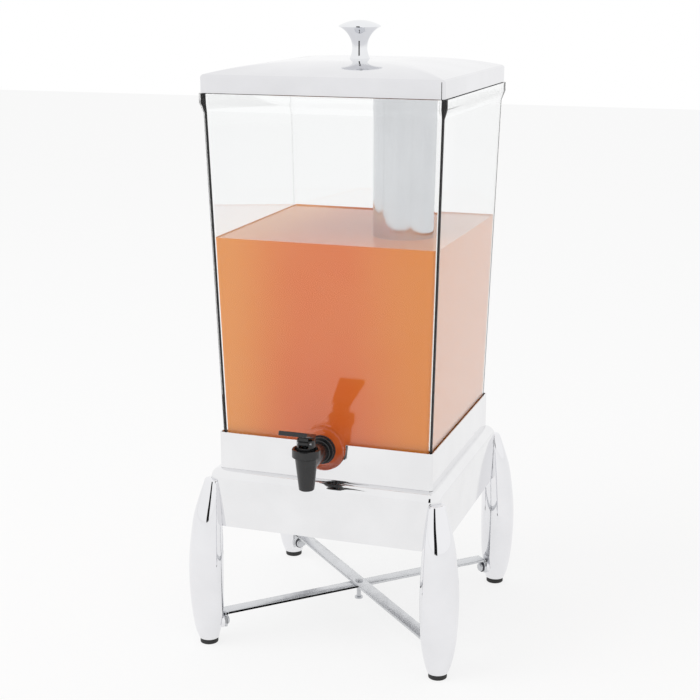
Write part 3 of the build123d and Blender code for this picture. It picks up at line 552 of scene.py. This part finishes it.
def smooth_stations(points, steps):
    """More stations on a smooth curve through the given ones."""
    result = []
    for i, (start, end) in enumerate(zip(points, points[1:])):
        length = end[0] - start[0]
        for step in range(steps + (i == len(points) - 2)):
            t = step / steps
            station = [start[0] + t * length]
            for k in (1, 2, 3):
                h00, h10 = 2 * t**3 - 3 * t**2 + 1, t**3 - 2 * t**2 + t
                h01, h11 = -2 * t**3 + 3 * t**2, t**3 - t**2
                station.append(
                    h00 * start[k] + h10 * length * slope_at(points, i, k)
                    + h01 * end[k] + h11 * length * slope_at(points, i + 1, k)
                )
            result.append(station)
    return result


def oval_ring(bm, reach, z, depth, width):
    """A level ellipse on the X axis; returns its edges."""
    made = bmesh.ops.create_circle(
        bm, segments=64, radius=0.5,
        matrix=Matrix.Translation((reach, 0, z)) @ Matrix.Diagonal((depth, width, 1, 1)),
    )
    return list({edge for vert in made["verts"] for edge in vert.link_edges})


for corner, turn in corner_turns.items():
    bm = bmesh.new()
    ovals = [
        oval_ring(
            bm, leg_reach - lean * leg_depth, leg_low.z + share * leg_length,
            depth * leg_depth, width * leg_width,
        )
        for share, lean, depth, width in smooth_stations(leg_stations, 6)
    ]
    skin(bm, ovals)
    cap(bm, ovals[0])
    cap(bm, ovals[-1])
    bmesh.ops.bevel(
        bm, geom=ovals[0] + ovals[-1], affect="EDGES", offset=leg_edge, segments=2,
        profile=0.5, material=-1,
    )
    pad = place_along((-1, 0, 0), (pad_reach, 0, pad_height))
    pad_profile = [(0, -pad_in), (pad_radius, -pad_in), (pad_radius, pad_out), (0, pad_out)]
    turned(bm, pad_profile, pad, 48)
    bmesh.ops.rotate(
        bm, verts=bm.verts, cent=(0, 0, 0), matrix=Matrix.Rotation(math.radians(turn), 3, "Z")
    )
    leg = to_object(f"leg_{corner}_shell", bm, 50)
    cutter = bmesh.new()
    low = square_ring(cutter, apron_half + seat_gap, apron_corner_low, apron_low.z)
    high = square_ring(
        cutter, apron_half + seat_gap, apron_corner_high, apron_high.z - apron_shoulder
    )
    top = square_ring(
        cutter, apron_half - apron_shoulder, seat_top_corner, apron_high.z + seat_gap
    )
    skin(cutter, [low, high, top])
    cap(cutter, low)
    cap(cutter, top)
    combine(leg, to_object("apron_cutter", cutter), "DIFFERENCE")
    dress(leg, "leg_chrome", "stand", f"leg_{corner}")

# %% [markdown]
# ## Feet
# A short rubber foot with a rounded lower edge plugs into each leg.

# %% Feet
foot_thickness, foot_edge, foot_plug_radius = 0.005, 0.0008, 0.005
foot_profile = [
    (0, 0),
    *arc((foot_radius - foot_edge, foot_edge), foot_edge, -90, 0, 4),
    (foot_radius, foot_thickness),
    (foot_plug_radius, foot_thickness),
    (foot_plug_radius, foot_high.z),
    (0, foot_high.z),
]
for corner, turn in corner_turns.items():
    spot = Matrix.Rotation(math.radians(turn), 4, "Z") @ Matrix.Translation((foot_place, 0, 0))
    bm = bmesh.new()
    turned(bm, foot_profile, spot, 48)
    foot = to_object(f"foot_{corner}_pad", bm)
    dress(foot, "soft_rubber", "stand", f"foot_{corner}")

# %% [markdown]
# ## Brace
# Two flat bars cross under the tank and are bolted to the legs by their bent ends. Each bar
# starts as its end's small rectangle, which is drawn up, spun round the bend, drawn across,
# and spun down again. So the bend keeps the bar's thickness.

# %% Brace bars
bar_width, bar_thickness = 0.014, 0.0025
bend_inside, bend_steps = 0.0015, 8
brace_reach = 0.1534
tab_low = 0.015


def brace_bar(name, node, top_z, turn):
    """A flat bar along X with both ends bent down, then turned to its diagonal."""
    bm = bmesh.new()
    made = bmesh.ops.create_grid(
        bm, x_segments=1, y_segments=1, size=0.5,
        matrix=Matrix.Translation((brace_reach - bar_thickness / 2, 0, tab_low))
        @ Matrix.Diagonal((bar_thickness, bar_width, 1, 1)),
    )
    end = made["verts"]
    bend_low = top_z - bar_thickness - bend_inside
    inner = brace_reach - bar_thickness - bend_inside

    def draw(geom, step):
        grown = bmesh.ops.extrude_face_region(bm, geom=geom)["geom"]
        verts = [item for item in grown if isinstance(item, bmesh.types.BMVert)]
        bmesh.ops.translate(bm, verts=verts, vec=step)
        return [item for item in grown if isinstance(item, bmesh.types.BMFace)]

    def bend(faces, centre, angle):
        for _ in range(bend_steps):
            grown = bmesh.ops.extrude_face_region(bm, geom=faces)["geom"]
            verts = [item for item in grown if isinstance(item, bmesh.types.BMVert)]
            bmesh.ops.rotate(
                bm, verts=verts, cent=centre,
                matrix=Matrix.Rotation(math.radians(angle / bend_steps), 3, "Y"),
            )
            faces = [item for item in grown if isinstance(item, bmesh.types.BMFace)]
        return faces

    faces = draw(list(bm.faces), (0, 0, bend_low - tab_low))
    faces = bend(faces, (inner, 0, bend_low), -90)
    faces = draw(faces, (-2 * inner, 0, 0))
    faces = bend(faces, (-inner, 0, bend_low), -90)
    draw(faces, (0, 0, tab_low - bend_low))
    bmesh.ops.remove_doubles(bm, verts=bm.verts, dist=1e-6)
    soften(bm, 0.0003)
    bmesh.ops.rotate(
        bm, verts=bm.verts, cent=(0, 0, 0), matrix=Matrix.Rotation(math.radians(turn), 3, "Z")
    )
    return dress(to_object(name, bm), "brushed_bar", "stand", node)


lower_low, lower_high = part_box("brace_lower_bar")
upper_low, upper_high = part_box("brace_upper_bar")
brace_bar("lower_brace_bar", "brace_lower_bar", lower_high.z, 45)
brace_bar("upper_brace_bar", "brace_upper_bar", upper_high.z, -45)

# %% [markdown]
# The bolts' heads face the middle of the stand, on black washers. A domed rivet joins the
# bars where they cross.

# %% Brace bolts, washers and rivet
bolt_z = 0.0195
head_reach = brace_reach - bar_thickness - 0.001
washer_profile = [(0.0025, 0), (0.0056, 0), (0.0056, 0.001), (0.0025, 0.001)]
bolt_profile = [
    (0, 0.0028),
    *reversed(arc((0.0026, 0.0007), 0.0021, 0, 90, 5)),
    (0.0047, 0),
    (0.0024, 0),
    (0.0024, -0.0095),
    (0, -0.0095),
]
bolts, washers = bmesh.new(), bmesh.new()
for turn in corner_turns.values():
    around = Matrix.Rotation(math.radians(turn), 4, "Z")
    inwards = around @ place_along((-1, 0, 0), (head_reach, 0, bolt_z))
    turned(bolts, bolt_profile, inwards, 32)
    washer_place = around @ place_along((1, 0, 0), (head_reach, 0, bolt_z))
    turned(washers, washer_profile, washer_place, 48, closed=True)
dress(to_object("brace_bolt_heads", bolts), "plain_steel", "stand", "brace_screws")
dress(to_object("brace_bolt_washers", washers), "dark_screw", "stand", "brace_washers")

rivet_profile = [
    (0, upper_high.z + 0.0016),
    *reversed(arc((0.0031, upper_high.z + 0.0005), 0.0011, 0, 90, 5)),
    (0.0042, upper_high.z),
    (0.0022, upper_high.z),
    (0.0022, lower_low.z),
    (0.0042, lower_low.z),
    (0.0042, lower_low.z - 0.0016),
    (0, lower_low.z - 0.0016),
]
bm = bmesh.new()
turned(bm, rivet_profile, steps=32)
dress(to_object("brace_middle_rivet", bm), "plain_steel", "stand", "brace_rivet")

# %% [markdown]
# ## Tank
# The tank is moulded in one with its rim and with the round boss that the tap goes through.
# Rings up its outside and down its inside make the walls; the boss is a turned part that is
# joined to them, and a hole is cut through both.

# %% Tank
tank_low, tank_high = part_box("tank")
foot_half, draft = 0.10455, math.radians(1.66)
wall, floor_z = 0.0035, 0.1895
rim_z, band_z, flare_z = 0.5445, 0.536, 0.527
rim_half, upstand_half, upstand_inside = tank_high.x, 0.11382, 0.11162
boss_face_y = -0.1125


def tank_half(z):
    """Half the tank's outer width at a height."""
    return foot_half + (z - tank_low.z) * math.tan(draft)


bm = bmesh.new()
outside = [
    square_ring(bm, half, corner, z) for half, corner, z in (
        (foot_half, 0.005, tank_low.z),
        (tank_half(0.30), 0.005, 0.30),
        (tank_half(0.41), 0.005, 0.41),
        (tank_half(flare_z), 0.005, flare_z),
        (rim_half, 0.006, band_z),
        (rim_half, 0.006, rim_z),
        (upstand_half, 0.005, rim_z),
        (upstand_half, 0.005, tank_high.z),
    )
]
inside = [
    square_ring(bm, half, 0.0025, z) for half, z in (
        (upstand_inside, tank_high.z),
        (tank_half(flare_z) - wall, flare_z),
        (tank_half(floor_z) - wall, floor_z),
    )
]
skin(bm, outside + inside)
cap(bm, outside[0])
cap(bm, inside[-1])
soften(bm, 0.0005)
tank = to_object("tank_body", bm)
bm = bmesh.new()
inner_face_y = -(tank_half(tap_z) - wall - 0.0016)
boss_profile = [
    (0, 0),
    (0.0203, 0),
    (boss_radius, 0.0012),
    (boss_radius, 0.009),
    (0.017, 0.009),
    (0.017, inner_face_y - boss_face_y),
    (0, inner_face_y - boss_face_y),
]
turned(bm, boss_profile, place_along((0, 1, 0), (0, boss_face_y, tap_z)), 96)
combine(tank, to_object("boss", bm), "UNION")
bm = bmesh.new()
hole_radius, hole_start, hole_end = 0.00806, -0.02, 0.03
turned(
    bm,
    [(0, hole_start), (hole_radius, hole_start), (hole_radius, hole_end), (0, hole_end)],
    place_along((0, 1, 0), (0, boss_face_y, tap_z)), 64,
)
combine(tank, to_object("hole", bm), "DIFFERENCE")
tank.data.shade_smooth()
tank.data.set_sharp_from_angle(angle=math.radians(35))
flatten_shading(tank)
dress(tank, "clear_plastic", "tank", "tank")

# %% [markdown]
# ## Juice
# The juice fills the tank's inside to its level. Its top edge creeps up the walls a little,
# as a liquid does, so the surface gets a narrow raised rim.

# %% Juice in the tank
drink_low, drink_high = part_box("drink")
juice_gap = 0.0003


def juice_half(z):
    """Half the juice's width at a height."""
    return tank_half(z) - wall - juice_gap


bm = bmesh.new()
rings = [
    square_ring(bm, juice_half(z), 0.0025, z)
    for z in (drink_low.z, 0.30, drink_high.z)
]
surface = [
    square_ring(bm, juice_half(drink_high.z) - inset, 0.0025, drink_high.z - drop)
    for inset, drop in ((0.0006, 0.0005), (0.0015, 0.0009), (0.0030, 0.0011))
]
skin(bm, rings + surface)
cap(bm, rings[0])
cap(bm, surface[-1])
juice_body = to_object("juice", bm, 50)
flatten_shading(juice_body)
dress(juice_body, "drink", "tank", "drink")

# %% [markdown]
# ## Ice tube
# A thin steel tube stands in the juice and holds ice. It is a closed profile spun round its
# own axis, with a rolled lip at the top.

# %% Ice tube
tube_low, tube_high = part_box("ice_tube")
tube_lip_radius = (tube_high.x - tube_low.x) / 2
tube_radius, tube_wall, lip = tube_lip_radius - 0.0008, 0.001, 0.002
tube_centre = Vector(((tube_low.x + tube_high.x) / 2, (tube_low.y + tube_high.y) / 2, 0))
tube_profile = [
    (tube_radius, tube_low.z),
    (tube_radius, tube_high.z - lip),
    *arc((tube_radius, tube_high.z - lip / 2), lip / 2 - 0.0002, -60, 90, 6),
    (tube_radius - tube_wall, tube_high.z - 0.0002),
    (tube_radius - tube_wall, tube_low.z),
]
bm = bmesh.new()
turned(bm, tube_profile, Matrix.Translation(tube_centre), 128, closed=True)
tube = to_object("ice_tube_shell", bm)
dress(tube, "tube_steel", "ice_tube", "ice_tube")

# %% [markdown]
# ## Lid
# The lid is pressed from one sheet. Above a straight skirt and a rolled edge it rises as four
# shallow curved faces that meet in soft hips and end in a flat middle. Rings follow that
# curve: their corners are crisp near the edge and get rounder towards the middle.

# %% Lid
lid_low, lid_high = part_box("lid_cover")
lid_half, lid_corner, lid_bead = lid_high.x, 0.0036, 0.002
lid_edge_z, crown_half = lid_low.z + 0.0162, 0.038
run, rise = lid_half - crown_half, lid_high.z - lid_edge_z
vault_radius = (run**2 + rise**2) / (2 * rise)


def vault_z(half):
    """Height of the vault over a ring's half width."""
    out = half - crown_half
    return lid_high.z - vault_radius + math.sqrt(vault_radius**2 - out**2)


bm = bmesh.new()
skirt = [
    square_ring(bm, lid_half, lid_corner, lid_low.z),
    square_ring(bm, lid_half, lid_corner, lid_edge_z - lid_bead),
]
bead = [
    square_ring(
        bm, lid_half - lid_bead + dx, lid_corner - lid_bead + dx, lid_edge_z - lid_bead + dz
    )
    for dx, dz in arc((0, 0), lid_bead, 15, 75, 4)
]
vault_start = lid_half - 0.85 * lid_bead
vault_steps = 24
vault = []
for i in range(vault_steps + 1):
    share = i / vault_steps
    half = vault_start + (crown_half - vault_start) * share
    vault.append(square_ring(bm, half, 0.002 + 0.020 * share**1.5, vault_z(half)))
skin(bm, skirt + bead + vault)
cap(bm, vault[-1])
lid = to_object("lid_shell", bm, 60)
thicken(lid, sheet, 0.0002)
flatten_shading(lid)
dress(lid, "polished_lid", "lid", "lid_cover")

# %% [markdown]
# ## Knob
# The knob is turned from solid metal like a small trumpet: a foot, a waist, a wide rim and a
# low dome. Two arcs that meet in the waist make its side.

# %% Knob
knob_low, knob_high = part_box("lid_knob")
knob_z = knob_low.z
base_radius, neck_radius, rim_radius = 0.0099, 0.0073, 0.0202
neck_z, rim_low_z, rim_high_z = 0.0098, 0.0295, 0.0306
foot_arc = ((base_radius - neck_radius) ** 2 + neck_z**2) / (2 * (base_radius - neck_radius))
side_run, side_rise = rim_radius - neck_radius, rim_low_z - neck_z
side_arc = (side_run**2 + side_rise**2) / (2 * side_run)
dome = knob_high.z - knob_z - rim_high_z
top_arc = (rim_radius**2 + dome**2) / (2 * dome)
foot_angle = math.degrees(math.asin(neck_z / foot_arc))
side_angle = math.degrees(math.asin(side_rise / side_arc))
top_angle = math.degrees(math.asin(rim_radius / top_arc))
knob_profile = [
    (0, 0),
    *arc((neck_radius + foot_arc, neck_z), foot_arc, 180 + foot_angle, 180, 10),
    *arc((neck_radius + side_arc, neck_z), side_arc, 180, 180 - side_angle, 24)[1:],
    (rim_radius, rim_low_z + 0.0004),
    (rim_radius, rim_high_z - 0.0002),
    *arc((0, knob_high.z - knob_z - top_arc), top_arc, 90 - top_angle + 1, 90, 16),
]
bm = bmesh.new()
turned(bm, knob_profile, Matrix.Translation((0, 0, knob_z)), 96)
knob = to_object("knob", bm, 40)
dress(knob, "knob_chrome", "lid", "lid_knob")

# %% [markdown]
# ## Tap
# The tap is moulded in black plastic. Its flange, ring and barrel are turned round one level
# axis, and its nozzle and cup round an upright one.

# %% Tap body and washer
tap_y = -0.154
washer_low, washer_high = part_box("tap_washer")
flange_y = washer_low.y
bm = bmesh.new()
turned(
    bm,
    [
        (0, 0), (0.0126, 0), (0.0134, 0.0006), (0.0134, 0.0026), (0.0128, 0.0032),
        (0.011, 0.0032), (0.011, 0.0056), (0.0104, 0.0062), (0.0093, 0.0062),
        (0.0093, flange_y - tap_y), (0, flange_y - tap_y),
    ],
    place_along((0, -1, 0), (0, flange_y, tap_z)), 72,
)
turned(
    bm, [(0, -0.03), (0.008, -0.03), (0.008, 0.001), (0, 0.001)],
    place_along((0, -1, 0), (0, flange_y, tap_z)), 48,
)
turned(
    bm,
    [
        (0.005, -0.026), (0.0066, -0.026), (0.0072, -0.0254), (0.0106, 0.005),
        (0.0133, 0.0065), (0.0133, 0.0134), (0.0128, 0.014), (0.0114, 0.014),
        (0.0109, 0.0135), (0.0109, 0.0066), (0.005, 0.0066),
    ],
    Matrix.Translation((0, tap_y, tap_z)), 72, closed=True,
)
tap = to_object("tap_housing", bm, 30)
dress(tap, "black_plastic", "tank", "tap_body")
bm = bmesh.new()
turned(
    bm, [(0.00805, 0), (0.0138, 0), (0.0142, 0.0004), (0.0142, 0.0014), (0.0138, 0.0018),
         (0.00805, 0.0018)],
    place_along((0, 1, 0), (0, flange_y, tap_z)), 72, closed=True,
)
dress(to_object("tap_seal", bm), "black_plastic", "tank", "tap_washer")

# %% [markdown]
# The bonnet is a round post with a slot from front to back, in which the lever turns. Two
# cheeks are left beside the slot: each is a round post cut down by a plane.

# %% Bonnet
bonnet_radius, slot_half, slot_z = 0.0087, 0.0049, 0.230
bonnet_low, bonnet_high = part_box("tap_bonnet")
bm = bmesh.new()
post = Matrix.Translation((0, tap_y, 0))
turned(
    bm, [(0, bonnet_low.z), (0.01085, bonnet_low.z), (0.01085, 0.2250), (0.0105, 0.2255),
         (bonnet_radius, 0.2255), (bonnet_radius, slot_z), (0, slot_z)], post, 64,
)
for side in (-1, 1):
    cheek = bmesh.new()
    turned(
        cheek, [(0, slot_z - 0.001), (bonnet_radius, slot_z - 0.001),
                (bonnet_radius, bonnet_high.z - 0.0005), (bonnet_radius - 0.0005, bonnet_high.z),
                (0, bonnet_high.z)], post, 64,
    )
    cut = bmesh.ops.bisect_plane(
        cheek, geom=list(cheek.verts) + list(cheek.edges) + list(cheek.faces),
        plane_co=(side * slot_half, 0, 0), plane_no=(-side, 0, 0), clear_outer=True,
    )
    edges = [item for item in cut["geom_cut"] if isinstance(item, bmesh.types.BMEdge)]
    bmesh.ops.contextual_create(cheek, geom=edges)
    half = bpy.data.meshes.new("cheek")
    cheek.to_mesh(half)
    cheek.free()
    bm.from_mesh(half)
    bpy.data.meshes.remove(half)
dress(to_object("bonnet", bm, 30), "black_plastic", "tank", "tap_bonnet")

# %% [markdown]
# The lever is a flat paddle that widens towards its tip and rises towards the front, with a
# narrow hub below it that turns in the slot.

# %% Lever
lever_thickness, lever_reach, lever_slope = 0.0042, 0.0365, math.radians(19)
root_width, tip_width, lever_corner = 0.019, 0.027, 0.0015
lever_length = lever_reach / math.cos(lever_slope)
bm = bmesh.new()
bmesh.ops.create_cube(bm, size=1.0)
bmesh.ops.scale(bm, vec=(root_width, lever_length, lever_thickness), verts=bm.verts)
bmesh.ops.translate(bm, vec=(0, -lever_length / 2, lever_thickness / 2), verts=bm.verts)
tip = [vert for vert in bm.verts if vert.co.y < -lever_length / 2]
bmesh.ops.scale(bm, vec=(tip_width / root_width, 1, 1), verts=tip)
uprights = [
    edge for edge in bm.edges
    if abs(edge.verts[0].co.z - edge.verts[1].co.z) > lever_thickness / 2
]
bmesh.ops.bevel(
    bm, geom=uprights, affect="EDGES", offset=lever_corner, segments=4,
    profile=0.5, material=-1,
)
soften(bm, 0.0007, 3, 50)
tilt = Matrix.Rotation(-lever_slope, 4, "X")
bmesh.ops.transform(
    bm, matrix=Matrix.Translation((0, tap_y, tap_z + 0.0242)) @ tilt, verts=bm.verts
)
hub = bmesh.new()
pin = Vector((0, tap_y - 0.005, tap_z + 0.0205))
turned(
    hub, [(0, -0.00465), (0.0033, -0.00465), (0.0033, 0.00465), (0, 0.00465)],
    place_along((1, 0, 0), pin), 32,
)
bmesh.ops.create_cube(
    hub, size=1.0,
    matrix=Matrix.Translation((0, tap_y - 0.001, tap_z + 0.0222))
    @ Matrix.Diagonal((0.0093, 0.0125, 0.0075, 1)),
)
mesh = bpy.data.meshes.new("hub")
hub.to_mesh(mesh)
hub.free()
bm.from_mesh(mesh)
bpy.data.meshes.remove(mesh)
dress(to_object("lever", bm, 30), "black_plastic", "tap_lever", "tap_lever")

# %% [markdown]
# ## Floor and light
# The floor is a plain pale sheet and the surround is white, so the polished metal has
# something even to show. A tall black card far in front gives the chrome its dark stripes,
# as it would in a studio.

# %% Floor
bm = bmesh.new()
bmesh.ops.create_grid(bm, x_segments=1, y_segments=1, size=6.0)
floor = to_object("floor", bm)
material = bpy.data.materials.new("pale_floor")
material.use_nodes = True
material.node_tree.nodes.clear()
links = material.node_tree.links
rays = add_node(material, "ShaderNodeLightPath")
surface = add_node(material, "ShaderNodeBsdfDiffuse", Color=(0.93, 0.93, 0.93, 1))
glow = add_node(material, "ShaderNodeEmission", Color=(1, 1, 1, 1), Strength=1.0)
seen = add_node(material, "ShaderNodeMath", {"operation": "MAXIMUM"})
seen_more = add_node(material, "ShaderNodeMath", {"operation": "MAXIMUM"})
links.new(rays.outputs["Is Camera Ray"], seen.inputs[0])
links.new(rays.outputs["Is Glossy Ray"], seen.inputs[1])
links.new(seen.outputs[0], seen_more.inputs[0])
links.new(rays.outputs["Is Transmission Ray"], seen_more.inputs[1])
share = add_node(material, "ShaderNodeMath", {"operation": "MULTIPLY"})
links.new(seen_more.outputs[0], share.inputs[0])
share.inputs[1].default_value = 0.8
mix = add_node(material, "ShaderNodeMixShader")
links.new(share.outputs[0], mix.inputs[0])
links.new(surface.outputs["BSDF"], mix.inputs[1])
links.new(glow.outputs["Emission"], mix.inputs[2])
links.new(mix.outputs["Shader"], add_node(material, "ShaderNodeOutputMaterial").inputs["Surface"])
floor.data.materials.append(material)
print("floor is", round(floor.dimensions.x, 1), "m wide")

# %% White surround
world = bpy.data.worlds.new("surround")
scene.world = world
world.use_nodes = True
world.node_tree.nodes.clear()
links = world.node_tree.links
rays = add_node(world, "ShaderNodeLightPath")
bright = add_node(world, "ShaderNodeBackground", Color=(1, 1, 1, 1), Strength=1.0)
soft = add_node(world, "ShaderNodeBackground", Color=(1, 1, 1, 1), Strength=0.75)
mix = add_node(world, "ShaderNodeMixShader")
links.new(rays.outputs["Is Diffuse Ray"], mix.inputs[0])
links.new(bright.outputs["Background"], mix.inputs[1])
links.new(soft.outputs["Background"], mix.inputs[2])
links.new(mix.outputs["Shader"], add_node(world, "ShaderNodeOutputWorld").inputs["Surface"])
print("surround is white")

# %% Dark card and key light
card_distance, card_turn = 3.0, math.radians(8.5)
bm = bmesh.new()
bmesh.ops.create_grid(
    bm, x_segments=1, y_segments=1, size=0.5,
    matrix=Matrix.Translation((
        card_distance * math.sin(card_turn), -card_distance * math.cos(card_turn), 1.5,
    )) @ Matrix.Rotation(card_turn, 4, "Z") @ Matrix.Rotation(math.radians(90), 4, "X")
    @ Matrix.Diagonal((1.0, 3.0, 1, 1)),
)
card = to_object("dark_card", bm)
card.visible_camera = False
card.visible_diffuse = False
card.visible_shadow = False
card.visible_transmission = False
material = bpy.data.materials.new("black_card")
material.use_nodes = True
material.node_tree.nodes.clear()
black = add_node(material, "ShaderNodeEmission", Color=(0.01, 0.01, 0.01, 1), Strength=1.0)
material.node_tree.links.new(
    black.outputs["Emission"], add_node(material, "ShaderNodeOutputMaterial").inputs["Surface"]
)
card.data.materials.append(material)

lamp = bpy.data.lights.new("key", "AREA")
lamp.shape, lamp.size, lamp.size_y, lamp.energy = "RECTANGLE", 1.6, 1.6, 22
key = bpy.data.objects.new("key", lamp)
key.location = (-1.4, -1.2, 2.2)
key.rotation_mode = "QUATERNION"
key.rotation_quaternion = (Vector((0, 0, 0.3)) - key.location).to_track_quat("-Z", "Y")
key.visible_glossy = False
scene.collection.objects.link(key)
scene.view_settings.view_transform = "Standard"
print("light is ready")
